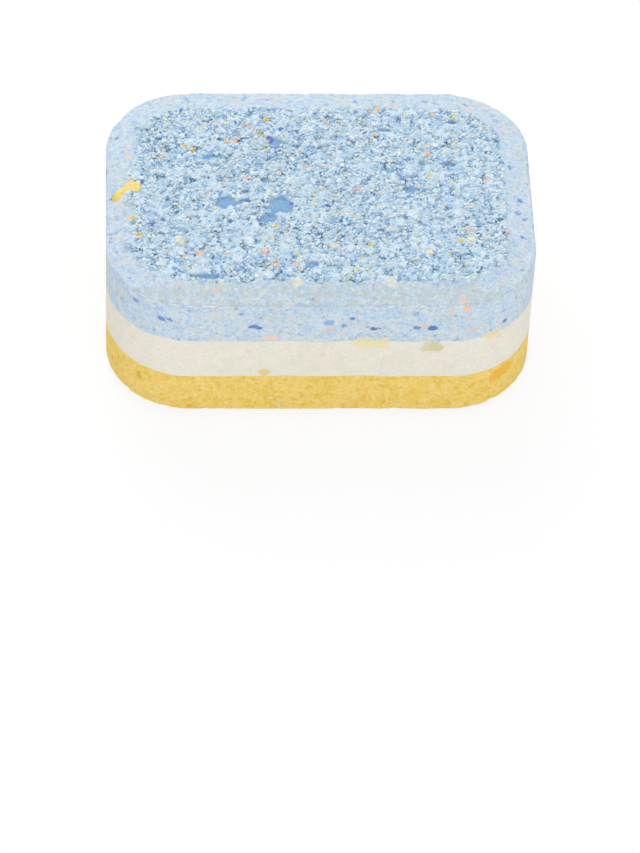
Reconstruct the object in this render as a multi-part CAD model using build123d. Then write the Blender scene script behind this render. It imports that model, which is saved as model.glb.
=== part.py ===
from build123d import *
import os

# A dishwasher tablet: three charges of powder pressed one on another in one die.
# Millimetres. +X runs along the length, +Z is up, and the origin is the centre of the
# pressed face that the tablet rests on.

length = 36.5  # along X, wall to wall
width = 26.0  # along Y, wall to wall
corner_radius = 7.25  # upright corners of the die

yellow_height = 4.8  # bottom layer, from the resting face to the white layer
white_height = 4.25  # middle layer, a plain slab of the die's outline
blue_height = 4.95  # top layer, from the white layer to the top of the raised face

rim_width = 2.4  # sloping rim that each punch leaves round its face
rim_rise = 0.5  # how far the rim climbs from the wall to the raised face
rim_edge_radius = 0.3  # rounded edge where the wall turns into the rim
face_rise = 0.2  # step from the rim to the rough raised face
lip_radius = 0.15  # rounded lip along that step


def die_outline(inset):
    """Outline of the die, moved inwards all round by inset."""
    return RectangleRounded(length - 2 * inset, width - 2 * inset, corner_radius - inset)


def top_edges(solid):
    """Edges of the highest level face."""
    return solid.faces().sort_by(Axis.Z)[-1].edges()


def slab(height):
    """Layer with upright walls and two flat faces, standing on z = 0."""
    return extrude(die_outline(0), height)


def end_layer(height):
    """Layer under a punch: flat face on z = 0, then the wall, the rim and the raised face."""
    block = slab(height - face_rise)
    top = block.faces().sort_by(Axis.Z)[-1]
    rimmed = chamfer(top.edges(), rim_width, rim_rise, reference=top)
    wall_top = height - face_rise - rim_rise
    edge = rimmed.edges().filter_by_position(Axis.Z, wall_top, wall_top)
    eased = fillet(edge, rim_edge_radius)
    raised = Pos(0, 0, height - face_rise) * extrude(die_outline(rim_width), face_rise)
    raised = fillet(top_edges(raised), lip_radius)
    return eased + raised


def layers():
    """The three layers in place, by node name, from the resting face up."""
    white_base = yellow_height
    blue_base = yellow_height + white_height
    return {
        "yellow_layer": Pos(0, 0, yellow_height) * Rot(180, 0, 0) * end_layer(yellow_height),
        "white_layer": Pos(0, 0, white_base) * slab(white_height),
        "blue_layer": Pos(0, 0, blue_base) * end_layer(blue_height),
    }


os.makedirs("parts", exist_ok=True)
for name, layer in layers().items():
    export_step(layer, f"parts/{name}.step")
    print(name, round(layer.volume, 1), "mm3")
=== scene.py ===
import math
import bpy
import numpy as np
from mathutils import Matrix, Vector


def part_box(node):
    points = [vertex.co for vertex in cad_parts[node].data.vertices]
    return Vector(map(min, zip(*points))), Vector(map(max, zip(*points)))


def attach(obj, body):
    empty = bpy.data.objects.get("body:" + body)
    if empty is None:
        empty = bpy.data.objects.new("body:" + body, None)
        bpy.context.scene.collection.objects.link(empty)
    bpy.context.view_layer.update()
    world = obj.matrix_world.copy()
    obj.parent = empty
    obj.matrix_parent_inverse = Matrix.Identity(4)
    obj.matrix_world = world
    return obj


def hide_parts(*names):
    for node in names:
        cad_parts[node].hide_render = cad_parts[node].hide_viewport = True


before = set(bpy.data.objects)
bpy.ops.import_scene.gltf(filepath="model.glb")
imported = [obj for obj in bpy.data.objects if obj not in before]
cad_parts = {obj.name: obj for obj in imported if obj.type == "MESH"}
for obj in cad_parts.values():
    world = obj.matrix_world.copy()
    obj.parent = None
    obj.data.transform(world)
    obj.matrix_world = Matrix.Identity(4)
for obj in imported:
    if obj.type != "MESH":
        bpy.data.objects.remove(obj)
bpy.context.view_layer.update()  # the pressed tablet: yellow, white and blue layers, metres
mm = 0.001  # shapes below are worked out in millimetres


def layerBox(node):
    # Lowest and highest corner of a layer, millimetres.
    low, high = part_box(node)
    return np.array(low) / mm, np.array(high) / mm


blueLow, blueHigh = layerBox("blue_layer")
whiteLow, whiteHigh = layerBox("white_layer")
yellowLow, yellowHigh = layerBox("yellow_layer")

die = {
    "length": blueHigh[0] - blueLow[0],
    "width": blueHigh[1] - blueLow[1],
    "cornerRadius": 7.25,  # upright corners
    "rimWidth": 2.4,  # sloping rim round each pressed face
    "rimRise": 0.5,  # climb of the rim
    "faceRise": 0.2,  # grain tops above the rim's inner edge
    "edgeRadius": 0.3,  # rounding between wall and rim
}
halfStraightX = die["length"] / 2 - die["cornerRadius"]
halfStraightY = die["width"] / 2 - die["cornerRadius"]
print("frame loaded, tablet", round(die["length"], 2), "x", round(die["width"], 2), "mm")


def hashed(ix, iy, iz, seed):
    # Even spread of 0..1 from whole numbers: they are multiplied by large odd numbers, added,
    # and their bits folded over each other.
    n = ix.astype(np.int64) * 374761393 + iy.astype(np.int64) * 668265263
    n = (n + iz.astype(np.int64) * 1442695041 + seed * 97531357) & 0xFFFFFFFF
    n = ((n ^ (n >> 13)) * 1274126177) & 0xFFFFFFFF
    n = ((n ^ (n >> 15)) * 2246822519 >> 3) & 0xFFFFFFFF
    return (n ^ (n >> 16)) / 4294967296.0


def cloud(p, size, seed):
    # Soft noise from -1 to 1: hashed values at the corners of cubes of this size, blended by
    # 3t^2 - 2t^3 along each axis.
    q = p / size
    cell = np.floor(q).astype(np.int64)
    t = q - cell
    t = t * t * (3 - 2 * t)
    total = np.zeros(len(p))
    for dx in (0, 1):
        for dy in (0, 1):
            for dz in (0, 1):
                weight = abs(1 - dx - t[:, 0]) * abs(1 - dy - t[:, 1]) * abs(1 - dz - t[:, 2])
                total += weight * hashed(cell[:, 0] + dx, cell[:, 1] + dy, cell[:, 2] + dz, seed)
    return total * 2 - 1


def layeredCloud(p, size, seed, octaves):
    # Sum of soft noises, each half the size and half the height of the one before.
    parts = [cloud(p, size / 2**k, seed + 17 * k) / 2**k for k in range(octaves)]
    return sum(parts)


def ease(low, high, value):
    # 0 below low, 1 above high, smooth between.
    t = np.clip((value - low) / (high - low), 0, 1)
    return t * t * (3 - 2 * t)


def ink(colour):
    # A colour written 0..255 on the screen, as the linear values that shaders use.
    c = np.array(colour, float) / 255
    return np.where(c <= 0.04045, c / 12.92, ((c + 0.055) / 1.055) ** 2.4)


def pick(ids, palette):
    # Even numbers 0..1 to colours, by each colour's share of the powder.
    shares = np.cumsum([row[0] for row in palette])
    inks = np.array([ink(row[1]) for row in palette])
    return inks[np.minimum(np.searchsorted(shares / shares[-1], ids), len(inks) - 1)]


def sideColumns(straight, radius, count):
    # One side seen from outside: half a corner, the straight, half a corner, in even steps. The
    # spine moves along the straight and stops; beyond it the normal turns by distance / radius.
    half = straight + radius * math.pi / 4
    t = np.linspace(-half, half, count, endpoint=False)
    turn = np.sign(t) * np.maximum(np.abs(t) - straight, 0) / radius
    return np.clip(t, -straight, straight), turn


def outlineColumns(longCount, shortCount):
    # Spine points and outward normals once round the die, anticlockwise from the middle of the
    # front left corner. A wall point is spine + normal x (corner radius - inset).
    radius = die["cornerRadius"] - die["rimWidth"]
    a, turnA = sideColumns(halfStraightX, radius, longCount)
    b, turnB = sideColumns(halfStraightY, radius, shortCount)
    edgeX, edgeY = np.full(longCount, halfStraightY), np.full(shortCount, halfStraightX)
    spine = [(a, -edgeX), (edgeY, b), (-a, edgeX), (-edgeY, -b)]
    normal = [
        (np.sin(turnA), -np.cos(turnA)),
        (np.cos(turnB), np.sin(turnB)),
        (-np.sin(turnA), np.cos(turnA)),
        (-np.cos(turnB), -np.sin(turnB)),
    ]
    return tuple(np.concatenate([np.stack(side, 1) for side in sides]) for sides in (spine, normal))


def depthInside(x, y):
    # Distance in from the wall: corner radius minus the distance past the spine rectangle.
    qx, qy = np.abs(x) - halfStraightX, np.abs(y) - halfStraightY
    outside = np.hypot(np.maximum(qx, 0), np.maximum(qy, 0))
    return die["cornerRadius"] - outside - np.minimum(np.maximum(qx, qy), 0)


def seam(p, seed):
    # How far the line between two powders wanders up or down at the wall.
    flat = p * [1, 1, 0]
    return 0.05 * cloud(flat, 3.1, seed) + 0.035 * cloud(flat, 0.8, seed + 1)


seams = {"upper": 61, "lower": 75}  # seeds of the two lines


def packedGrains(p, size, seed):
    # Grains packed in cells of this size, each cell with one leaning ellipse: height is
    # sqrt(1 - d^2) times the grain's height, d the distance over its radii. The highest of the
    # nine nearest wins. Gives the height, the winner's number and d.
    cell = np.floor(p[:, :2] / size).astype(np.int64)
    zero = np.zeros(len(p), np.int64)
    best, winner, nearest = np.full(len(p), -1.0), np.zeros(len(p)), np.ones(len(p))
    for dx in (-1, 0, 1):
        for dy in (-1, 0, 1):
            ix, iy = cell[:, 0] + dx, cell[:, 1] + dy
            a, b, c, d, e = (hashed(ix, iy, zero + k, seed) for k in range(5))
            x = p[:, 0] - (ix + 0.1 + 0.8 * a) * size
            y = p[:, 1] - (iy + 0.1 + 0.8 * b) * size
            lean = math.pi * c
            u, v = x * np.cos(lean) + y * np.sin(lean), y * np.cos(lean) - x * np.sin(lean)
            wide = size * (0.52 + 0.3 * d)
            far = np.sqrt((u / wide) ** 2 + (v / (wide * (0.62 + 0.3 * e))) ** 2)
            height = np.sqrt(np.maximum(1 - far**2, 0)) * (0.55 + 0.45 * e) - (far >= 1)
            win = height > best
            best = np.where(win, height, best)
            winner = np.where(win, d * 0.37 + e * 0.63, winner)
            nearest = np.where(win, far, nearest)
    return np.maximum(best, 0), hashedMix(winner, seed), nearest


def hashedMix(value, seed):
    # Evens out a number made from two others.
    return hashed((value * 1e6).astype(np.int64), np.zeros(len(value)), np.zeros(len(value)), seed)


blueFace = {
    "seed": 3,
    "grainSizes": (0.95, 0.52, 0.3),  # cells, mm
    "grainHeights": (0.2, 0.2, 0.1),
    "roughDepth": 0.3,  # from the grain tops down to the floor between them
    "palette": [  # share of the grains, colour on the screen
        (28, (214, 233, 246)),
        (24, (192, 218, 238)),
        (12, (230, 242, 248)),
        (14, (170, 202, 228)),
        (9, (140, 182, 218)),
        (10, (214, 219, 204)),
        (2.5, (126, 172, 218)),
        (0.7, (94, 138, 204)),
        (0.4, (238, 204, 184)),
        (0.15, (232, 208, 120)),
    ],
    # bare places where the top grains stuck to the punch: x, y, half length, half width
    "bare": [
        (-7.9, -1.1, 0.75, 0.75),
        (-6.4, -0.9, 0.6, 0.35),
        (-3.6, -1.6, 1.05, 0.9),
        (-4.4, -3.0, 0.9, 0.6),
        (7.9, 0.4, 1.0, 0.55),
        (11.4, 3.6, 0.6, 0.35),
        (9.0, 3.7, 0.5, 0.35),
        (-9.2, 4.5, 0.9, 0.35),
        (-4.6, 1.6, 0.5, 0.35),
        (-0.9, -8.6, 0.5, 0.4),
        (-10.0, -10.0, 1.0, 0.3),
        (-3.5, 6.4, 0.5, 0.5),
        (5.9, 7.8, 0.6, 0.3),
    ],
    "bareColour": (116, 168, 214),
    # the flash colour is partly the flash's own paler powder and partly a painted highlight on the
    # rounded edge
    "flash": (238, 240, 236),  # colour of the thin ridge along the top of the wall
    # painted shade: how much the near rim, sloping away from the light, is greyed
    "frontRimShadeAmount": 0.5,  # how much the near rim is greyed
}

yellowFace = {
    "seed": 9,
    "grainSizes": (0.8, 0.45, 0.28),
    "grainHeights": (0.1, 0.14, 0.08),
    "roughDepth": 0.2,
    "palette": [
        (40, (250, 222, 122)),
        (30, (250, 214, 104)),
        (14, (252, 230, 150)),
        (8, (240, 196, 84)),
        (4, (236, 176, 62)),
        (2, (246, 232, 186)),
        (0.6, (190, 210, 222)),
    ],
    "bare": [],
    "bareColour": (240, 200, 90),
    # the flash colour is partly the flash's own paler powder and partly a painted highlight on the
    # rounded edge
    "flash": (252, 234, 170),
    "frontRimShadeAmount": 0,
}


lemon, salmon, violet, cream = (236, 212, 104), (238, 202, 180), (112, 128, 206), (240, 234, 206)
blueFace["marks"] = [  # crumbs of other colours: x, y, radius, colour
    (-11.5, 5.8, 0.3, lemon), (-10.7, 5.3, 0.3, lemon), (-7.8, 6.3, 0.25, lemon),
    (-4.8, 7.3, 0.38, lemon), (-4.4, 9.2, 0.35, lemon), (-4.6, 5.3, 0.25, lemon),
    (-16.4, 4.4, 0.35, (244, 214, 150)), (-16.0, -3.1, 0.35, lemon), (-15.5, -5.1, 0.35, lemon),
    (4.2, -6.2, 0.3, lemon), (12.0, 9.6, 0.28, lemon), (5.3, 10.8, 0.25, lemon),
    (9.6, 2.1, 0.28, lemon), (-3.8, -4.0, 0.25, lemon),
    (-7.0, 6.5, 0.38, salmon), (-5.9, 8.3, 0.35, salmon), (0.9, 8.7, 0.3, salmon),
    (5.0, 7.3, 0.3, salmon), (9.4, 4.9, 0.35, salmon), (-1.1, 3.3, 0.28, salmon),
    (-6.1, 1.8, 0.28, salmon), (3.3, 0.5, 0.3, salmon), (-10.3, -7.4, 0.4, salmon),
    (-11.7, -7.7, 0.32, salmon), (-4.8, -7.1, 0.4, salmon), (-3.9, -8.7, 0.32, salmon),
    (-2.2, -8.6, 0.3, salmon), (-9.0, -11.4, 0.45, salmon), (11.7, -12.4, 0.6, salmon),
    (15.9, -4.7, 0.35, salmon), (10.2, 9.7, 0.3, salmon), (-9.5, 0.1, 0.25, salmon),
    (5.4, 10.5, 0.3, salmon), (14.4, 1.6, 0.3, salmon), (12.7, -4.5, 0.3, salmon),
    (-4.1, 6.7, 0.4, violet), (0.6, -1.6, 0.3, violet), (-14.2, -3.8, 0.3, violet),
    (17.2, -0.6, 0.35, (92, 140, 222)), (16.8, -2.2, 0.45, (120, 164, 228)),
    (17.1, -5.0, 0.3, (110, 150, 224)), (15.6, 9.2, 0.55, (160, 200, 238)),
    (15.3, 9.9, 0.4, (160, 200, 238)), (-2.2, -10.7, 0.6, cream), (5.7, -10.8, 0.6, cream),
    (9.1, -7.1, 0.4, cream), (1.1, -6.3, 0.4, cream), (-12.0, -5.7, 0.5, cream),
    (12.6, -5.7, 0.45, cream), (-17.7, -0.2, 0.4, (92, 124, 168)),
    (-7.7, -3.5, 0.3, (70, 112, 146)), (1.0, 9.4, 0.28, (70, 112, 146)),
    (-12.9, 5.3, 0.25, (76, 120, 156)), (-10.9, 1.6, 0.28, (76, 120, 156)),
]
yellowFace["marks"] = [
    (6.0, 4.0, 0.35, (176, 202, 220)), (-3.0, -5.0, 0.3, (226, 170, 80)),
    (10.5, -3.0, 0.35, (228, 160, 64)), (-9.0, 6.5, 0.3, (228, 166, 70)),
    (-12.0, -4.0, 0.35, (222, 160, 60)), (2.0, 8.5, 0.28, (190, 206, 214)),
]


def markTint(x, y, tint, face):
    # Colours near a mark go over to the mark's colour, most of the way inside its radius and not
    # at all outside.
    for markX, markY, radius, shade in face["marks"]:
        show = 0.85 * ease(1.05, 0.6, np.hypot(x - markX, y - markY) / radius)[:, None]
        tint = tint * (1 - show) + ink(shade) * show
    return tint


def faceEdge(p, face):
    # Distance in from the wall, disturbed, so that the rough face wanders over the rim's inner
    # edge, and further over the rim on the left of the near half.
    spill = ease(-15.0, -16.0, p[:, 0]) * ease(4.0, 1.0, p[:, 1]) * ease(-10.5, -7.0, p[:, 1])
    spill = spill * (0.55 + 0.5 * cloud(p, 0.8, face["seed"] + 6))
    wander = 0.2 * layeredCloud(p, 1.3, face["seed"] + 5, 3)
    return depthInside(p[:, 0], p[:, 1]) + wander + spill


def roughness(x, y, face):
    # 1 on the rough face, 0 on the rim, with an uneven border.
    p = np.stack([x, y, np.zeros(len(x))], 1)
    return ease(die["rimWidth"] - 0.18, die["rimWidth"] + 0.16, faceEdge(p, face))


def bareness(p, face):
    # 1 inside a bare place, 0 outside, with an uneven edge.
    edge = 0.35 * layeredCloud(p, 0.7, face["seed"] + 31, 3)
    bare = np.zeros(len(p))
    for x, y, long, wide in face["bare"]:
        far = np.hypot((p[:, 0] - x) / long, (p[:, 1] - y) / wide)
        bare = np.maximum(bare, ease(1.15, 0.85, far + edge))
    return bare


def faceRelief(x, y, face):
    # Height below the grain tops, colour and painted crevice shade of a pressed face at x, y:
    # the sloping rim, then packed grains of three sizes stacked and pressed flat, with bare
    # places cut down.
    p = np.stack([x, y, np.zeros(len(x))], 1)
    warp = np.stack([cloud(p, 0.45, face["seed"] + 40), cloud(p, 0.45, face["seed"] + 41)], 1)
    q = p.copy()
    q[:, :2] += 0.12 * warp
    rough = roughness(x, y, face)
    bare = bareness(p, face)
    grains = [packedGrains(q, s, face["seed"] + 50 + k) for k, s in enumerate(face["grainSizes"])]
    stack = sum(h * g[0] for h, g in zip(face["grainHeights"], grains))
    full = sum(face["grainHeights"])
    pressed = full * 0.62 * (1 - np.exp(-stack / (full * 0.45)))
    height = pressed - face["roughDepth"] - 0.05 * (1 - layeredCloud(p, 2.4, face["seed"] + 60, 2))
    corner = ease(2, 9, x) * ease(1, 8, y)  # the face has sunk a little beside this part of the rim
    height = height - 0.14 * corner * np.exp(-(((faceEdge(p, face) - die["rimWidth"]) / 0.3) ** 2))
    height = height * (1 - bare) + bare * (-0.34 + 0.03 * cloud(p, 0.3, face["seed"] + 61))
    slope = die["rimRise"] * np.minimum(depthInside(x, y) / die["rimWidth"], 1.15)
    rim = slope - die["rimRise"] - die["faceRise"]
    # Painted shade: the lower a point lies between the grains, the more the material darkens it, as
    # shade in the crevices.
    paintedCreviceShade = np.clip(1 - stack / (full * 0.6), 0, 1) * rough * (1 - bare)
    tint = np.where((grains[0][2] < 0.8)[:, None], pick(grains[0][1], face["palette"]),
                    pick(grains[1][1], face["palette"]))
    tint = 0.6 * tint + 0.4 * pick(grains[2][1], face["palette"])
    tint = tint * (1 - 0.85 * bare[:, None]) + 0.85 * ink(face["bareColour"]) * bare[:, None]
    tint = markTint(x, y, tint, face)
    return rim * (1 - rough) + height * rough, tint, paintedCreviceShade, rough


def meshPiece(name, points, faces, attributes, corners, smooth):
    # Points in millimetres, faces as arrays of equal rows, one array for each kind of face, and
    # smooth for each face. The corners are their places on the bake map.
    mesh = bpy.data.meshes.new(name)
    rows = [row for kind in faces for row in kind.tolist()]
    mesh.from_pydata(points * mm, [], rows)
    for label, values in attributes.items():
        kind = "FLOAT_COLOR" if values.ndim == 2 else "FLOAT"
        slot = "color" if values.ndim == 2 else "value"
        if values.ndim == 2 and values.shape[1] == 3:
            values = np.concatenate([values, np.ones((len(values), 1))], 1)
        made = mesh.attributes.new(label, kind, "POINT")
        made.data.foreach_set(slot, values.astype(np.float32).ravel())
    places = mesh.uv_layers.new(name="OFBake")
    places.uv.foreach_set("vector", corners.astype(np.float32).ravel())
    mesh.polygons.foreach_set("use_smooth", smooth)
    mesh.update()
    piece = bpy.data.objects.new(name, mesh)
    bpy.context.scene.collection.objects.link(piece)
    return piece


def ringFaces(inner, outer):
    # Quads between two closed loops of vertex numbers with the same count.
    return np.stack([inner, outer, np.roll(outer, -1), np.roll(inner, -1)], 1)


def coonsPatch(loop, longCount, shortCount):
    # A lattice stretched inside a closed loop: the blend across, plus the blend up, minus the
    # blend of the four corners.
    u = np.linspace(0, 1, longCount + 1)[None, :, None]
    v = np.linspace(0, 1, shortCount + 1)[:, None, None]
    n, m = longCount, shortCount
    ends = np.concatenate([loop, loop[:1]])
    front, right = ends[: n + 1], ends[n : n + m + 1]
    back, left = ends[n + m : 2 * n + m + 1][::-1], ends[2 * n + m :][::-1]
    across = (1 - u) * left[:, None] + u * right[:, None]
    up = (1 - v) * front[None] + v * back[None]
    low = (1 - u) * front[0] + u * front[-1]
    high = (1 - u) * back[0] + u * back[-1]
    return across + up - (1 - v) * low - v * high


def latticeEdge(longCount, shortCount):
    # Vertex numbers round a lattice, anticlockwise from its first corner.
    n, m = longCount, shortCount
    number = np.arange((n + 1) * (m + 1)).reshape(m + 1, n + 1)
    return np.concatenate([number[0, :-1], number[:-1, -1], number[-1, :0:-1], number[:0:-1, 0]])


def latticeFaces(longCount, shortCount):
    # Quads of a lattice, row by row, each from its low left corner round.
    number = np.arange((longCount + 1) * (shortCount + 1)).reshape(shortCount + 1, longCount + 1)
    quads = [number[:-1, :-1], number[:-1, 1:], number[1:, 1:], number[1:, :-1]]
    return np.stack([q.ravel() for q in quads], 1)


marksOnWalls = [  # x, y, z, radius in mm, and the colour: what shows pressed into the walls
    (-13.5, -12.6, 11.3, 0.45, (98, 140, 208)),
    (-13.0, -12.7, 11.4, 0.35, (98, 140, 208)),
    (-15.8, -11.2, 12.2, 0.4, (110, 156, 214)),
    (-5.9, -13.0, 10.8, 0.4, (76, 126, 200)),
    (-5.4, -13.0, 10.6, 0.32, (76, 126, 200)),
    (4.2, -13.0, 10.6, 0.4, (74, 112, 176)),
    (3.7, -13.0, 10.8, 0.25, (74, 112, 176)),
    (4.8, -13.0, 10.6, 0.25, (100, 140, 200)),
    (9.3, -13.0, 10.7, 0.5, (72, 112, 182)),
    (7.9, -13.0, 10.7, 0.35, (104, 146, 204)),
    (2.4, -13.0, 11.8, 0.28, (96, 140, 200)),
    (15.5, -11.5, 10.0, 0.35, (92, 128, 204)),
    (0.5, -13.0, 11.3, 0.5, (142, 184, 226)),
    (8.5, -13.0, 10.95, 0.45, (238, 204, 190)),
    (12.8, -12.8, 10.3, 0.4, (232, 202, 192)),
    (0.6, -13.0, 10.4, 0.5, (222, 204, 206)),
    (-4.3, -13.0, 9.5, 0.65, (236, 216, 200)),
    (12.0, -12.9, 12.9, 0.5, (240, 206, 184)),
    (9.4, -13.0, 8.4, 1.0, (214, 206, 164)),
    (8.8, -13.0, 8.2, 0.7, (220, 212, 176)),
    (-4.9, -13.0, 5.3, 0.6, (232, 206, 132)),
    (3.5, -13.0, 8.85, 1.1, (238, 226, 182)),
    (5.0, -13.0, 8.85, 0.9, (238, 226, 182)),
    (14.4, -12.3, 9.0, 0.8, (240, 222, 164)),
    (15.4, -11.7, 3.7, 1.1, (244, 186, 70)),
    (16.1, -10.9, 4.0, 0.9, (244, 190, 80)),
]


def stains(p):
    # Colour of the nearest mark and how strongly it shows, 1 inside and fading over its edge.
    colour, strength = np.ones((len(p), 3)), np.zeros(len(p))
    for x, y, z, radius, shade in marksOnWalls:
        far = np.linalg.norm((p - [x, y, z]) * [1, 1, 1.5], axis=1) / radius
        show = ease(1.7, 0.2, far)
        nearer = show > strength
        colour[nearer] = ink(shade)
        strength = np.maximum(strength, show)
    return np.concatenate([colour, strength[:, None]], 1)


def rimMarks(p, face):
    # The face's crumbs that lie on the smooth rim, in the form that stains gives.
    colour, strength = np.ones((len(p), 3)), np.zeros(len(p))
    for x, y, radius, shade in face["marks"]:
        show = 0.8 * ease(1.6, 0, np.hypot(p[:, 0] - x, p[:, 1] - y) / radius)
        colour[show > strength] = ink(shade)
        strength = np.maximum(strength, show)
    return np.concatenate([colour, strength[:, None]], 1)


seamStrip = 0.02  # a last narrow strip of wall, so that shading at the seam stays crisp
hiddenInset = 0.5  # a layer's hidden side is flat inside this distance from the wall


def rimProfile(height, rimRows, edgeRows, wallRows):
    # Rows from the face down to the seam, as (inset, height above the seam, turn of the normal
    # from upright): along the rim, round the edge on a circle that touches rim and wall, down.
    lean = math.atan(die["rimRise"] / die["rimWidth"])
    radius = die["edgeRadius"]
    foot = height - die["faceRise"] - die["rimRise"]
    centre = foot + math.tan(lean) * radius - radius / math.cos(lean)
    joins = radius * (1 - math.sin(lean))
    rim = np.linspace(die["rimWidth"], joins, rimRows, endpoint=False)[1:]
    angle = np.linspace(lean, math.pi / 2, edgeRows)
    wall = np.append(np.linspace(centre, seamStrip, wallRows)[1:], 0)
    inset = np.concatenate([rim, radius * (1 - np.sin(angle)), np.zeros(wallRows)])
    level = np.concatenate([foot + rim * math.tan(lean), centre + radius * np.cos(angle), wall])
    turn = np.concatenate([np.full(len(rim), lean), angle, np.full(wallRows, math.pi / 2)])
    return inset, level, turn


wallFinish = {"unevenness": 0.006, "pits": 0.05, "flash": 0.1, "chips": 0.16}  # mm


def skin(p, seed):
    # Fine unevenness of a wall that slid out of the die: soft noise of two sizes, and small pits
    # that gather in patches.
    fine = wallFinish["unevenness"] * (cloud(p, 0.35, seed) + cloud(p, 0.9, seed + 1))
    patches = ease(-0.2, 0.5, cloud(p, 2.2, seed + 3))
    return fine - wallFinish["pits"] * ease(0.42, 0.75, cloud(p, 0.32, seed + 2)) * patches


def flashStrength(p, seed):
    # How much flash stands at a place along the edge, from 0 to 1.
    along = p * [1, 1, 0]
    return ease(-0.9, 0.2, cloud(along, 3.5, seed)) * (0.7 + 0.3 * cloud(along, 0.4, seed + 1))


def ridge(p, turn, seed):
    # Thin broken flash of powder that the punch leaves along the top of the wall, and chips
    # where that edge has crumbled.
    along = p * [1, 1, 0]
    flash = wallFinish["flash"] * flashStrength(p, seed) * np.exp(-(((turn - 0.75) / 0.4) ** 2))
    chip = wallFinish["chips"] * ease(0.35, 0.8, cloud(along, 0.7, seed + 2))
    return flash - chip * ease(0.25, 0.9, turn) * ease(math.pi / 2 + 0.01, 0.9, turn)


endCounts = {"long": 232, "short": 152, "rim": 18, "edge": 7, "wall": 22}  # steps of the mesh
# Painted shade on the near rim, which slopes away from the light: where along Y it starts and
# is full, how far in from the layer's outer face it reaches, in mm, and its colour.
frontRimShade = {"start": -10.3, "full": -11.2, "depth": 0.85, "colour": (194, 205, 203)}
rimMarkDepth = 1.2  # the rim's marks reach this far in from the layer's outer face
# The band of the rounded edge that takes the pale flash colour: partly the flash's paler powder, partly
# a painted highlight where the edge catches the light.
flashHighlightBand = {"lean": 0.95, "spread": 0.42}  # where the flash looks pale on the rounded edge, radians


def endStains(p, level, height, flash, face):
    # The strongest, at each point, of the marks on the wall, the crumbs on the rim, the painted
    # shade of the near rim and the pale flash, which is partly a painted highlight.
    stain = stains(p)
    # Painted shade: the near rim is greyed more towards the front, within its depth from the outer face.
    frontRimShadeMask = face["frontRimShadeAmount"] * ease(frontRimShade["start"], frontRimShade["full"], p[:, 1])
    frontRimShadeMask *= level > height - frontRimShade["depth"]
    for other in (
        rimMarks(p, face) * (level > height - rimMarkDepth)[:, None],
        np.column_stack([np.tile(ink(frontRimShade["colour"]), (len(p), 1)), frontRimShadeMask]),
        np.column_stack([np.tile(ink(face["flash"]), (len(p), 1)), 0.9 * flash]),
    ):
        stain = np.where(other[:, 3:] > stain[:, 3:], other, stain)
    return stain


def endLayer(name, base, height, side, face, seamSeed):
    # A layer under a punch, closed: lattice for the face, rings for rim, edge and wall, and a
    # flat hidden side against the white powder. side is 1 with the face up, -1 with it down.
    n, m = endCounts["long"], endCounts["short"]
    spine, normal = outlineColumns(n, m)
    radius = die["cornerRadius"]
    loop = spine + normal * (radius - die["rimWidth"])
    patch = coonsPatch(loop, n, m).reshape(-1, 2)
    inset, level, turn = rimProfile(height, endCounts["rim"], endCounts["edge"], endCounts["wall"])
    ring = spine[None] + normal[None] * (radius - inset)[:, None, None]
    rows, columns = len(inset), len(spine)
    across = np.concatenate([patch, ring.reshape(-1, 2)])
    up = np.concatenate([np.full(len(patch), height), np.repeat(level, columns)])
    lean = np.concatenate([np.zeros(len(patch)), np.repeat(turn, columns)])
    outward = np.concatenate([np.zeros_like(patch), np.tile(normal, (rows, 1))])

    drop, tint, paintedCreviceShade, rough = faceRelief(across[:, 0], across[:, 1], face)
    onFace = ease(0.5, 0.22, lean)  # the relief belongs to face and rim, not to edge and wall
    up = np.where(onFace > 0, height + drop, up)
    where = np.stack([across[:, 0], across[:, 1], base + side * up], 1)
    bump = skin(where, face["seed"] + 70) * (1 - rough)
    bump = bump + ridge(where, lean, face["seed"] + 80) * (lean > 0)
    shift = seam(where, seamSeed)
    fade = np.clip(1 - up / (height - 0.9), 0, 1) * (lean > 1.5)
    up = up + bump * np.cos(lean) + side * shift * fade
    across = across + outward * (bump * np.sin(lean) * (1 - fade**8))[:, None]

    hidden = spine + normal * (radius - hiddenInset)
    points = np.concatenate([
        np.column_stack([across, base + side * up]),
        np.column_stack([hidden, np.full(columns, base)]),
    ])
    zeros = np.zeros(columns)
    paintedCreviceShade, rough = np.concatenate([paintedCreviceShade, zeros]), np.concatenate([rough, zeros])
    tint = np.concatenate([tint, np.tile(ink(face["palette"][0][1]), (columns, 1))])

    start = len(patch)
    loops = [latticeEdge(n, m)] + [np.arange(columns) + start + k * columns for k in range(rows + 1)]
    quads = np.concatenate([latticeFaces(n, m)] + [ringFaces(a, b) for a, b in zip(loops, loops[1:])])
    cap = loops[-1][::-1][None]
    if side < 0:
        quads, cap = quads[:, ::-1], cap[:, ::-1]
    # The pale flash paint: where flash stands, within a band of the rounded edge; partly the flash's
    # paler powder, partly a painted highlight.
    flash = np.zeros(len(points))
    flash[: len(lean)] = flashStrength(where, face["seed"] + 80)
    flash[: len(lean)] *= np.exp(-(((lean - flashHighlightBand["lean"]) / flashHighlightBand["spread"]) ** 2))
    stain = endStains(points, np.abs(points[:, 2] - base), height, flash, face)
    attributes = {"tint": tint, "paintedCreviceShade": paintedCreviceShade, "rough": rough, "stain": stain}
    corners = mapCorners(points, quads, cap, len(latticeFaces(n, m)), rows, columns, side)
    smooth = np.arange(len(quads) + 1) < len(quads) - columns
    return meshPiece(name, points, [quads, cap], attributes, corners, smooth)


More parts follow.
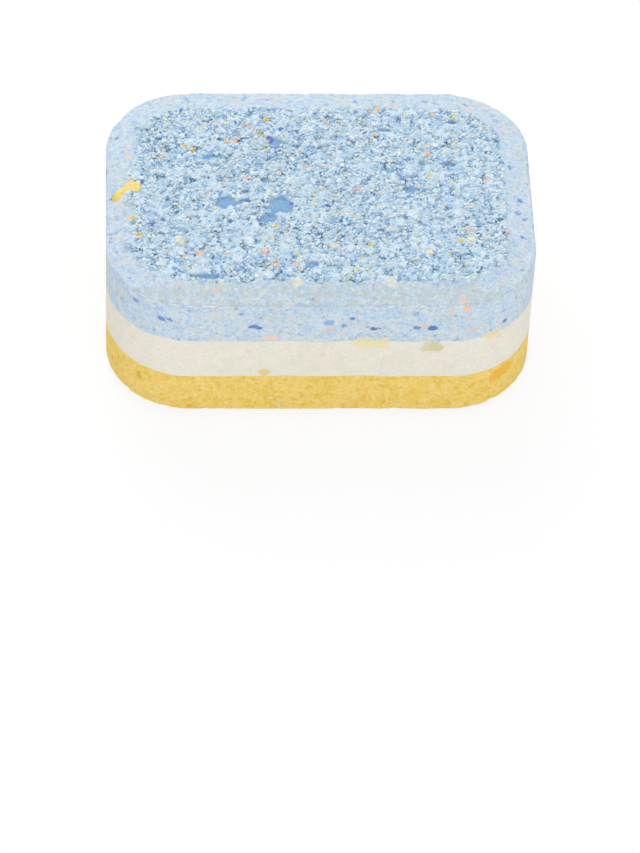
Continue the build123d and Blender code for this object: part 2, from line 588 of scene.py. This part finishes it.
def stripPlaces(face, columns, rows, side, low, high):
    # Places on the bake map for a wall of quads cut in four strips, stacked from low to high.
    row, column = np.divmod(face, columns)
    strip, along = np.divmod(column, columns // 4)
    ahead = [0, 0, 1, 1] if side > 0 else [1, 1, 0, 0]
    places = np.empty((len(face), 4, 2))
    for k, down in enumerate([0, 1, 1, 0]):
        places[:, k, 0] = 0.003 + 0.994 * (along + ahead[k]) / (columns // 4)
        part = strip + 0.95 - 0.9 * (row + down) / rows
        places[:, k, 1] = low + (high - low) * part / 4
    return places


mapSpan = die["length"] + 0.4  # millimetres across the bake map


def mapCorners(points, quads, cap, faceQuads, rows, columns, side):
    # The bake map: face and rim seen from above, the wall in four strips below them, and the
    # hidden side small in a corner.
    flat = np.stack([points[:, 0] / mapSpan + 0.5, points[:, 1] / mapSpan + 0.64], 1)
    places = flat[quads]
    rim = endCounts["rim"] - 1 + endCounts["edge"]
    wall = np.arange(len(quads) - faceQuads - rim * columns)
    first = faceQuads + rim * columns
    places[first:] = stripPlaces(wall, columns, rows + 1 - rim, side, 0.004, 0.276)
    hiddenPlaces = flat[cap[0]] * 0.02 + [0.003, 0.975]
    return np.concatenate([places.reshape(-1, 2), hiddenPlaces])


middleRows = 26


def middleLayer(name, base, height, seed):
    # The slab between the two faces: its wall runs between the two wandering lines.
    spine, normal = outlineColumns(endCounts["long"], endCounts["short"])
    columns = len(spine)
    wall = spine + normal * die["cornerRadius"]
    hidden = spine + normal * (die["cornerRadius"] - hiddenInset)
    across = np.tile(wall, (middleRows, 1))
    strip = seamStrip / height
    share = np.concatenate([[1], np.linspace(1 - strip, strip, middleRows - 2), [0]])
    share = np.repeat(share, columns)
    where = np.column_stack([across, base + height * share])
    shift = share**6 * seam(where, seams["upper"]) + (1 - share) ** 6 * seam(where, seams["lower"])
    inner = np.minimum(1, 12 * share * (1 - share))
    push = skin(where, seed) * inner
    where[:, :2] += np.tile(normal, (middleRows, 1)) * push[:, None]
    where[:, 2] += shift
    points = np.concatenate([
        np.column_stack([hidden, np.full(columns, base + height)]),
        where,
        np.column_stack([hidden, np.full(columns, base)]),
    ])
    loops = [np.arange(columns) + k * columns for k in range(middleRows + 2)]
    quads = np.concatenate([ringFaces(a, b) for a, b in zip(loops, loops[1:])])
    top, bottom = loops[0][None], loops[-1][::-1][None]
    places = stripPlaces(np.arange(len(quads)), columns, middleRows + 1, 1, 0.01, 0.97)
    small = points[:, :2] / die["length"] * 0.02 + [0.5, 0.985]
    corners = np.concatenate([places.reshape(-1, 2), small[top[0]], small[bottom[0]]])
    number = np.arange(len(quads) + 2)
    smooth = (number >= columns) & (number < len(quads) - columns)
    return meshPiece(name, points, [quads, top, bottom], {"stain": stains(points)}, corners, smooth)


def ball(split):
    # Corners and faces of a twenty-sided ball, its faces cut in four where split is true.
    g = (1 + math.sqrt(5)) / 2
    points = [(-1, g, 0), (1, g, 0), (-1, -g, 0), (1, -g, 0), (0, -1, g), (0, 1, g)]
    points += [(0, -1, -g), (0, 1, -g), (g, 0, -1), (g, 0, 1), (-g, 0, -1), (-g, 0, 1)]
    faces = [(0, 11, 5), (0, 5, 1), (0, 1, 7), (0, 7, 10), (0, 10, 11), (1, 5, 9), (5, 11, 4)]
    faces += [(11, 10, 2), (10, 7, 6), (7, 1, 8), (3, 9, 4), (3, 4, 2), (3, 2, 6), (3, 6, 8)]
    faces += [(3, 8, 9), (4, 9, 5), (2, 4, 11), (6, 2, 10), (8, 6, 7), (9, 8, 1)]
    if split:
        middles = {}
        cut = []
        for a, b, c in faces:
            for edge in ((a, b), (b, c), (c, a)):
                if tuple(sorted(edge)) not in middles:
                    middles[tuple(sorted(edge))] = len(points)
                    points.append(tuple(np.add(points[edge[0]], points[edge[1]]) / 2))
            ab, bc, ca = (middles[tuple(sorted(e))] for e in ((a, b), (b, c), (c, a)))
            cut += [(a, ab, ca), (b, bc, ab), (c, ca, bc), (ab, bc, ca)]
        faces = cut
    points = np.array(points, float)
    return points / np.linalg.norm(points, axis=1)[:, None], np.array(faces)


def scatter(spacing, seed):
    # Jittered places over the face: one in each cell of a square grid.
    nx, ny = int(die["length"] / spacing), int(die["width"] / spacing)
    ix, iy = [part.ravel() for part in np.meshgrid(np.arange(nx), np.arange(ny))]
    a, b = hashed(ix, iy, ix * 0, seed), hashed(ix, iy, ix * 0 + 1, seed)
    return (ix - nx / 2 + a) * spacing, (iy - ny / 2 + b) * spacing


blueCoarse = {"spacing": 0.5, "radius": 0.2, "split": True, "lump": 0.55, "stand": 0.3, "clump": -0.3}
blueFine = {"spacing": 0.27, "radius": 0.125, "split": False, "lump": 0.5, "stand": 0.4, "clump": -0.8}
yellowLoose = {"spacing": 0.42, "radius": 0.16, "split": False, "lump": 0.4, "stand": 0.3, "clump": -0.5}


def grainField(name, sort, face, top, side):
    # Each grain is a lumpy ball, squashed, turned and sunk into the relief. Its corners are the
    # ball's, times three radii, times 1 plus a hashed lump, turned about Z.
    seed = face["seed"] + 200
    x, y = scatter(sort["spacing"], seed)
    p = np.stack([x, y, np.zeros(len(x))], 1)
    clump = cloud(p, 1.1, seed + 2) + 0.5 * cloud(p, 0.5, seed + 3)
    keep = (faceEdge(p, face) > die["rimWidth"] + 0.04) & (clump > sort["clump"])
    keep &= bareness(p, face) < 0.3
    x, y = x[keep], y[keep]
    height = faceRelief(x, y, face)[0]
    zero = np.zeros(len(x), np.int64)
    ids = np.arange(len(x))
    a, b, c, d = (hashed(ids, zero + k, zero, seed + 4) for k in range(4))
    size = sort["radius"] * (0.6 + 0.7 * a)
    cast, faces = ball(sort["split"])
    corner = np.arange(len(cast))
    lump = hashed(ids[:, None], corner[None] + 9, zero[:1][None], seed + 5)
    radii = size[:, None] * np.stack([0.8 + 0.5 * b, 0.8 + 0.4 * c, 0.55 + 0.3 * d], 1)
    shape = cast[None] * (1 + sort["lump"] * (lump - 0.5))[:, :, None] * radii[:, None]
    turn = 2 * math.pi * c
    flatX = shape[..., 0] * np.cos(turn)[:, None] - shape[..., 1] * np.sin(turn)[:, None]
    flatY = shape[..., 0] * np.sin(turn)[:, None] + shape[..., 1] * np.cos(turn)[:, None]
    proud = shape[..., 2].max(axis=1) + 0.1 * d  # the punch left no grain above the face
    level = shape[..., 2] + np.minimum(height + size * sort["stand"], -proud)[:, None]
    points = np.stack([flatX + x[:, None], flatY + y[:, None], top + side * level], 2)
    points = points.reshape(-1, 3)
    faces = faces if side > 0 else faces[:, ::-1]
    faces = (faces[None] + (ids * len(cast))[:, None, None]).reshape(-1, 3)
    tint = pick(hashed(ids, zero + 7, zero, seed + 6), face["palette"])
    tint = np.repeat(markTint(x, y, tint, face), len(cast), axis=0)
    corners = points[faces.ravel()][:, :2] / mapSpan + 0.5
    nudge = np.tile([[0, 0], [0.002, 0], [0, 0.002]], (len(faces), 1))  # no face without an area
    smooth = np.zeros(len(faces), bool)
    return meshPiece(name, points, [faces], {"tint": tint}, corners + nudge, smooth)


crumb = {
    "route": [(-17.65, -0.75), (-17.0, 0.1), (-16.3, 0.6), (-15.3, 0.7)],  # x, y on the rim
    "radius": 0.72,
    "flatness": 0.32,  # height over width
    "sink": 0.04,  # how far its middle lies under the rim
    "outerEnd": (224, 184, 76),  # colour of its outer end
    "colour": (244, 218, 132),
    "rows": 60,
    "columns": 40,
}


def crumbPiece(name):
    # A lump of the yellow powder pressed into the rim: an oval section carried along a bent path,
    # its width the square root of 1 - t^4 from end to end, times 1 plus soft noise.
    t = np.linspace(-1, 1, crumb["rows"] + 1)
    turn = np.linspace(0, 2 * math.pi, crumb["columns"], endpoint=False)
    route = np.array(crumb["route"])
    knots = np.linspace(-1, 1, len(route))
    x, y = np.interp(t, knots, route[:, 0]), np.interp(t, knots, route[:, 1])
    alongX, alongY = np.gradient(x), np.gradient(y)
    length = np.hypot(alongX, alongY)
    wide = crumb["radius"] * np.sqrt(np.maximum(1 - t**4, 1e-4)) * (0.8 + 0.3 * t)
    rim = die["rimRise"] * depthInside(x, y) / die["rimWidth"] - die["rimRise"] - die["faceRise"]
    middle = blueHigh[2] + rim - crumb["sink"]
    across = wide[:, None] * np.cos(turn)
    points = np.stack([
        x[:, None] - (alongY / length)[:, None] * across,
        y[:, None] + (alongX / length)[:, None] * across,
        middle[:, None] + crumb["flatness"] * wide[:, None] * np.sin(turn),
    ], 2).reshape(-1, 3)
    centre = np.repeat(np.column_stack([x, y, middle]), len(turn), axis=0)
    lumps = 0.4 * cloud(points, 0.6, 301) + 0.35 * cloud(points, 0.25, 302)
    points = centre + (points - centre) * (1 + lumps)[:, None]
    columns = len(turn)
    loops = [np.arange(columns) + k * columns for k in range(len(t))]
    quads = np.concatenate([ringFaces(b, a) for a, b in zip(loops, loops[1:])])
    first, last = loops[0][None], loops[-1][::-1][None]
    row, column = np.divmod(np.arange(len(quads)), columns)
    places = np.stack([
        np.stack([column / columns, (row + 1) / len(t)], 1),
        np.stack([column / columns, row / len(t)], 1),
        np.stack([(column + 1) / columns, row / len(t)], 1),
        np.stack([(column + 1) / columns, (row + 1) / len(t)], 1),
    ], 1).reshape(-1, 2)
    small = np.stack([np.cos(turn), np.sin(turn)], 1) * 0.005 + [0.5, 0.985]
    corners = np.concatenate([places, small, small[::-1]])
    # Darker, more ochre towards the crumb's outer end.
    outerEnd = ease(-0.35, -0.9, np.repeat(t, columns) + 0.4 * cloud(points, 0.4, 303))[:, None]
    tint = ink(crumb["colour"]) * (1 - outerEnd) + ink(crumb["outerEnd"]) * outerEnd
    smooth = np.arange(len(quads) + 2) < len(quads)
    return meshPiece(name, points, [quads, first, last], {"tint": tint}, corners, smooth)


class Wire:
    # A shader socket. Arithmetic between wires and numbers adds Math nodes.
    def __init__(self, tree, socket):
        self.tree = tree
        self.socket = socket

    def node(self, kind, settings, inputs, output=0):
        # One node: its settings, then a number, a colour or a wire for each of its sockets.
        made = self.tree.nodes.new(kind)
        for name, value in settings.items():
            setattr(made, name, value)
        for name, value in inputs.items():
            if isinstance(value, Wire):
                self.tree.links.new(value.socket, made.inputs[name])
            else:
                made.inputs[name].default_value = value
        return Wire(self.tree, made.outputs[output])

    def math(self, operation, first, second, clamp=False):
        settings = {"operation": operation, "use_clamp": clamp}
        return self.node("ShaderNodeMath", settings, {0: first, 1: second})

    def __add__(self, other):
        return self.math("ADD", self, other)

    def __sub__(self, other):
        return self.math("SUBTRACT", self, other)

    def __rsub__(self, other):
        return self.math("SUBTRACT", other, self)

    def __mul__(self, other):
        return self.math("MULTIPLY", self, other)

    __radd__ = __add__
    __rmul__ = __mul__

    def step(self, low, high):
        # 0 below low and 1 above high, smooth between; the other way round where low is larger.
        ends = {"From Min": low, "From Max": high, "Value": self}
        return self.node("ShaderNodeMapRange", {"interpolation_type": "SMOOTHSTEP"}, ends)

    def noise(self, scale, detail=3.0, roughness=0.55):
        # Soft noise from 0 to 1 with this many cells in a millimetre.
        ends = {"Vector": self, "Scale": scale / mm, "Detail": detail, "Roughness": roughness}
        return self.node("ShaderNodeTexNoise", {}, ends)

    def cells(self, scale, output=0):
        # Output 0 is the distance to the nearest cell's middle, and 1 that cell's own colour.
        return self.node("ShaderNodeTexVoronoi", {}, {"Vector": self, "Scale": scale / mm}, output)

    def blend(self, first, second):
        # From the first colour to the second as this wire goes from 0 to 1.
        return self.node("ShaderNodeMix", {"data_type": "RGBA"}, {0: self, 6: first, 7: second}, 2)


def opaque(colour):
    # A screen colour as a shader socket holds it.
    return (*ink(colour), 1.0)


def powderMaterial(name, look):
    # Pressed powder: colour from the grains where the face is rough, darkened there by painted
    # shade in the crevices, from soft noise and specks elsewhere, with marks pressed into it and
    # a fine grain in the bump.
    material = bpy.data.materials.new(name)
    material.use_nodes = True
    tree = material.node_tree
    shader = tree.nodes["Principled BSDF"]
    place = Wire(tree, tree.nodes.new("ShaderNodeTexCoord").outputs["Object"])

    def attribute(label, output):
        return place.node("ShaderNodeAttribute", {"attribute_name": label}, {}, output)

    mottle = place.noise(1.1, 4.0, 0.65)
    colour = mottle.step(0.38, 0.62).blend(opaque(look["pressed"]), opaque(look["pressedOther"]))
    for scale, low, amount, shade in look["mottles"]:
        patches = place.noise(scale, 3.0, 0.62).step(low - 0.03, low + 0.09)
        colour = (patches * amount).blend(colour, opaque(shade))
    ragged = (place.noise(4.0, 3.0, 0.65) - 0.5) * 1.1
    for scale, share, shade in look["specks"]:
        number = place.node("ShaderNodeSeparateColor", {}, {0: place.cells(scale, 1)})
        near = (place.cells(scale) + ragged).step(0.42, 0.1)
        speck = number.math("LESS_THAN", number, share) * near
        colour = (speck * look["speckAmount"]).blend(colour, opaque(shade))
    if look["face"]:
        rough = attribute("rough", 2)
        tint = attribute("tint", 0)
        paintedCreviceShade = attribute("paintedCreviceShade", 2)
        tint = (place.noise(3.8, 3.0).step(0.54, 0.66) * 0.15).blend(tint, opaque(look["pale"]))
        # Painted shade: the crevices between the grains are darkened towards the crevice colour.
        tint = (paintedCreviceShade.step(0.15, 0.95) * look["paintedCreviceAmount"]).blend(tint, opaque(look["paintedCreviceColour"]))
        colour = rough.blend(colour, tint)
    inMark = attribute("stain", 3)
    strength = (inMark + (place.noise(1.9, 5.0, 0.75) - 0.5) * 2.6) * inMark.step(0.02, 0.3)
    colour = (strength.step(0.35, 0.75) * 0.88).blend(colour, attribute("stain", 0))
    tree.links.new(colour.socket, shader.inputs["Base Color"])
    relief = place.noise(6.0, 4.0, 0.65) + place.cells(4.5) * look["cellBump"]
    ends = {"Strength": look["bump"], "Distance": 0.12 * mm, "Height": relief}
    bump = relief.node("ShaderNodeBump", {}, ends)
    tree.links.new(bump.socket, shader.inputs["Normal"])
    shader.inputs["Roughness"].default_value = 0.85
    shader.inputs["Specular IOR Level"].default_value = 0.3
    return material


def grainMaterial(name, look):
    # Loose grains: each has its own colour, paler in patches.
    material = bpy.data.materials.new(name)
    material.use_nodes = True
    tree = material.node_tree
    shader = tree.nodes["Principled BSDF"]
    place = Wire(tree, tree.nodes.new("ShaderNodeTexCoord").outputs["Object"])
    tint = place.node("ShaderNodeAttribute", {"attribute_name": "tint"}, {})
    colour = (place.noise(5.0, 3.0).step(0.5, 0.7) * 0.5).blend(tint, opaque(look["pale"]))
    tree.links.new(colour.socket, shader.inputs["Base Color"])
    relief = place.noise(9.0, 3.0, 0.6)
    ends = {"Strength": 0.5, "Distance": 0.08 * mm, "Height": relief}
    bump = relief.node("ShaderNodeBump", {}, ends)
    tree.links.new(bump.socket, shader.inputs["Normal"])
    shader.inputs["Roughness"].default_value = 0.8
    shader.inputs["Specular IOR Level"].default_value = 0.3
    return material


bluePowder = {
    "face": True,
    "pressed": (192, 216, 238),
    "pressedOther": (212, 226, 236),
    "pale": (236, 244, 248),
    "mottles": [  # cells per mm, level that it starts at, amount, colour
        (0.62, 0.52, 0.5, (212, 220, 214)),
        (2.3, 0.54, 0.6, (158, 194, 230)),
        (3.1, 0.56, 0.7, (224, 234, 240)),
        (1.5, 0.6, 0.6, (226, 224, 204)),
        (4.5, 0.58, 0.5, (146, 178, 206)),
        (0.9, 0.63, 0.6, (226, 208, 204)),
    ],
    "specks": [  # cells per mm, share of the cells, colour
        (1.15, 0.06, (104, 144, 204)),
        (1.4, 0.05, (236, 208, 190)),
        (1.9, 0.08, (130, 170, 220)),
        (1.6, 0.05, (228, 226, 196)),
    ],
    "speckAmount": 0.7,
    # painted shade: the colour that the crevices between grains are darkened to, and how far
    "paintedCreviceColour": (74, 124, 164),
    "paintedCreviceAmount": 0.85,
    "cellBump": 0.25,
    "bump": 0.75,
}
whitePowder = {
    "face": False,
    "pressed": (236, 232, 219),
    "pressedOther": (232, 229, 217),
    "mottles": [
        (0.5, 0.56, 0.5, (230, 226, 208)),
        (2.6, 0.56, 0.4, (224, 219, 202)),
        (3.4, 0.56, 0.5, (244, 242, 232)),
        (0.8, 0.64, 0.5, (234, 226, 188)),
    ],
    "specks": [(1.0, 0.03, (222, 210, 170)), (1.6, 0.03, (214, 214, 206))],
    "speckAmount": 0.45,
    "cellBump": 0.2,
    "bump": 0.5,
}
yellowPowder = {
    "face": True,
    "pressed": (244, 210, 108),
    "pressedOther": (246, 216, 124),
    "pale": (255, 238, 176),
    "mottles": [
        (0.9, 0.54, 0.6, (236, 196, 76)),
        (1.7, 0.57, 0.7, (232, 186, 62)),
        (2.8, 0.55, 0.6, (248, 226, 158)),
        (4.2, 0.58, 0.5, (222, 180, 76)),
        (0.6, 0.6, 0.5, (248, 220, 140)),
    ],
    "specks": [
        (0.9, 0.08, (222, 170, 48)),
        (1.3, 0.08, (234, 178, 64)),
        (1.3, 0.05, (248, 232, 180)),
        (1.2, 0.012, (186, 196, 192)),
    ],
    "speckAmount": 0.8,
    # painted shade: the colour that the crevices between grains are darkened to, and how far
    "paintedCreviceColour": (206, 154, 48),
    "paintedCreviceAmount": 0.6,
    "cellBump": 0.2,
    "bump": 0.65,
}

blueHeight, whiteHeight = blueHigh[2] - blueLow[2], whiteHigh[2] - whiteLow[2]
yellowHeight = yellowHigh[2] - yellowLow[2]
blueBody = endLayer("blue_pressing", blueLow[2], blueHeight, 1, blueFace, seams["upper"])
print("blue layer made")
yellowBody = endLayer(
    "yellow_pressing", yellowHigh[2], yellowHeight, -1, yellowFace, seams["lower"]
)
print("yellow layer made")
whiteBody = middleLayer("white_pressing", whiteLow[2], whiteHeight, 45)
print("white layer made")

blueGrains = grainField("blue_grains", blueCoarse, blueFace, blueHigh[2], 1)
blueFines = grainField("blue_fines", blueFine, blueFace, blueHigh[2], 1)
yellowGrains = grainField("yellow_grains", yellowLoose, yellowFace, yellowLow[2], -1)
yellowCrumb = crumbPiece("yellow_crumb")
print("grains made")

finishes = {
    "blue_powder": powderMaterial("bluePowder", bluePowder),
    "white_powder": powderMaterial("whitePowder", whitePowder),
    "yellow_powder": powderMaterial("yellowPowder", yellowPowder),
}
blueBody.data.materials.append(finishes["blue_powder"])
whiteBody.data.materials.append(finishes["white_powder"])
yellowBody.data.materials.append(finishes["yellow_powder"])
looseBlue = grainMaterial("blueGrainPowder", bluePowder)
blueGrains.data.materials.append(looseBlue)
blueFines.data.materials.append(looseBlue)
looseYellow = grainMaterial("yellowGrainPowder", yellowPowder)
yellowGrains.data.materials.append(looseYellow)
yellowCrumb.data.materials.append(looseYellow)

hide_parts("blue_layer")
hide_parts("white_layer")
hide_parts("yellow_layer")
for piece, slot in (
    (blueBody, "blue_powder"),
    (blueGrains, "blue_powder"),
    (blueFines, "blue_powder"),
    (whiteBody, "white_powder"),
    (yellowBody, "yellow_powder"),
    (yellowGrains, "yellow_powder"),
    (yellowCrumb, "yellow_powder"),
):
    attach(piece, "root")
for piece in (blueBody, whiteBody, yellowBody, blueGrains, blueFines, yellowGrains, yellowCrumb):
    triangles = sum(len(face.vertices) - 2 for face in piece.data.polygons)
    print(piece.name, triangles, "triangles")


def floorPiece():
    # A white floor that keeps the tablet's shadow and shows as white to the camera.
    size = 1.5
    mesh = bpy.data.meshes.new("floor")
    corners = [(-size, -size, 0), (size, -size, 0), (size, size, 0), (-size, size, 0)]
    mesh.from_pydata(corners, [], [(0, 1, 2, 3)])
    floor = bpy.data.objects.new("floor", mesh)
    bpy.context.scene.collection.objects.link(floor)
    material = bpy.data.materials.new("floorWhite")
    material.use_nodes = True
    tree = material.node_tree
    shader = tree.nodes["Principled BSDF"]
    shader.inputs["Base Color"].default_value = (0.9, 0.9, 0.9, 1)
    shader.inputs["Roughness"].default_value = 0.9
    rays = tree.nodes.new("ShaderNodeLightPath")
    seen = Wire(tree, rays.outputs["Is Camera Ray"]) + Wire(tree, rays.outputs["Is Glossy Ray"])
    seen = seen.math("ADD", seen, Wire(tree, rays.outputs["Is Transmission Ray"]), clamp=True)
    white = seen.node("ShaderNodeEmission", {}, {"Color": (1, 1, 1, 1), "Strength": 1.02})
    both = tree.nodes.new("ShaderNodeMixShader")
    tree.links.new((seen * 0.85).socket, both.inputs[0])
    tree.links.new(shader.outputs[0], both.inputs[1])
    tree.links.new(white.socket, both.inputs[2])
    tree.links.new(both.outputs[0], tree.nodes["Material Output"].inputs["Surface"])
    floor.data.materials.append(material)
    return floor


lighting = {
    "sky": 0.72,  # even light from all round
    "lamps": [  # place in metres, side in metres, watts
        ((-0.15, 0.6, 0.55), 0.5, 3.3),
        ((0.15, -0.8, 0.25), 0.5, 1.7),
    ],
}


def lightScene():
    # Even light from the sky, white where the camera sees it, and two large soft lamps.
    world = bpy.data.worlds.new("studio")
    bpy.context.scene.world = world
    world.use_nodes = True
    tree = world.node_tree
    rays = tree.nodes.new("ShaderNodeLightPath")
    seen = Wire(tree, rays.outputs["Is Camera Ray"])
    strength = seen * (1 - lighting["sky"]) + lighting["sky"]
    tree.nodes["Background"].inputs["Color"].default_value = (1, 1, 1, 1)
    tree.links.new(strength.socket, tree.nodes["Background"].inputs["Strength"])
    for number, (spot, side, power) in enumerate(lighting["lamps"]):
        lamp = bpy.data.lights.new("softbox" + str(number), "AREA")
        lamp.shape = "SQUARE"
        lamp.size = side
        lamp.energy = power
        box = bpy.data.objects.new(lamp.name, lamp)
        box.location = spot
        box.rotation_euler = (-box.location).to_track_quat("-Z", "Y").to_euler()
        bpy.context.scene.collection.objects.link(box)


view = {
    "azimuth": -3.6539,  # degrees round Z from looking along +Y
    "elevation": 44.9183,  # degrees down onto the floor
    "roll": 2.6280,
    "distance": 0.40441,  # from the middle of the tablet, metres
    "pan": 0.0374,
    "tilt": 2.1706,  # leaves the tablet in the upper half of the frame
    "lens": 196.97,
}


def placeCamera():
    # Looks at the tablet's middle from its azimuth, elevation and distance, rolled about that
    # line, then panned and tilted on the spot.
    azimuth, elevation, roll = (math.radians(view[k]) for k in ("azimuth", "elevation", "roll"))
    back = np.array([math.sin(azimuth) * math.cos(elevation),
                     -math.cos(azimuth) * math.cos(elevation), math.sin(elevation)])
    across = np.array([math.cos(azimuth), math.sin(azimuth), 0])
    upward = np.cross(back, across)
    right = across * math.cos(roll) + upward * math.sin(roll)
    up = upward * math.cos(roll) - across * math.sin(roll)
    turned = Matrix(np.stack([right, up, back], 1).tolist())
    turned = turned @ Matrix.Rotation(-math.radians(view["pan"]), 3, "Y")
    turned = turned @ Matrix.Rotation(-math.radians(view["tilt"]), 3, "X")
    lens = bpy.data.cameras.new("camera")
    lens.lens = view["lens"]
    lens.sensor_width = 36
    lens.clip_start = 0.01
    camera = bpy.data.objects.new("camera", lens)
    spot = back * view["distance"] + [0, 0, blueHigh[2] / 2 * mm]
    camera.matrix_world = Matrix.Translation(spot.tolist()) @ turned.to_4x4()
    bpy.context.scene.collection.objects.link(camera)
    bpy.context.scene.camera = camera


floorPiece()
lightScene()
placeCamera()
bpy.context.scene.view_settings.view_transform = "Standard"
print("floor, lights and camera ready")
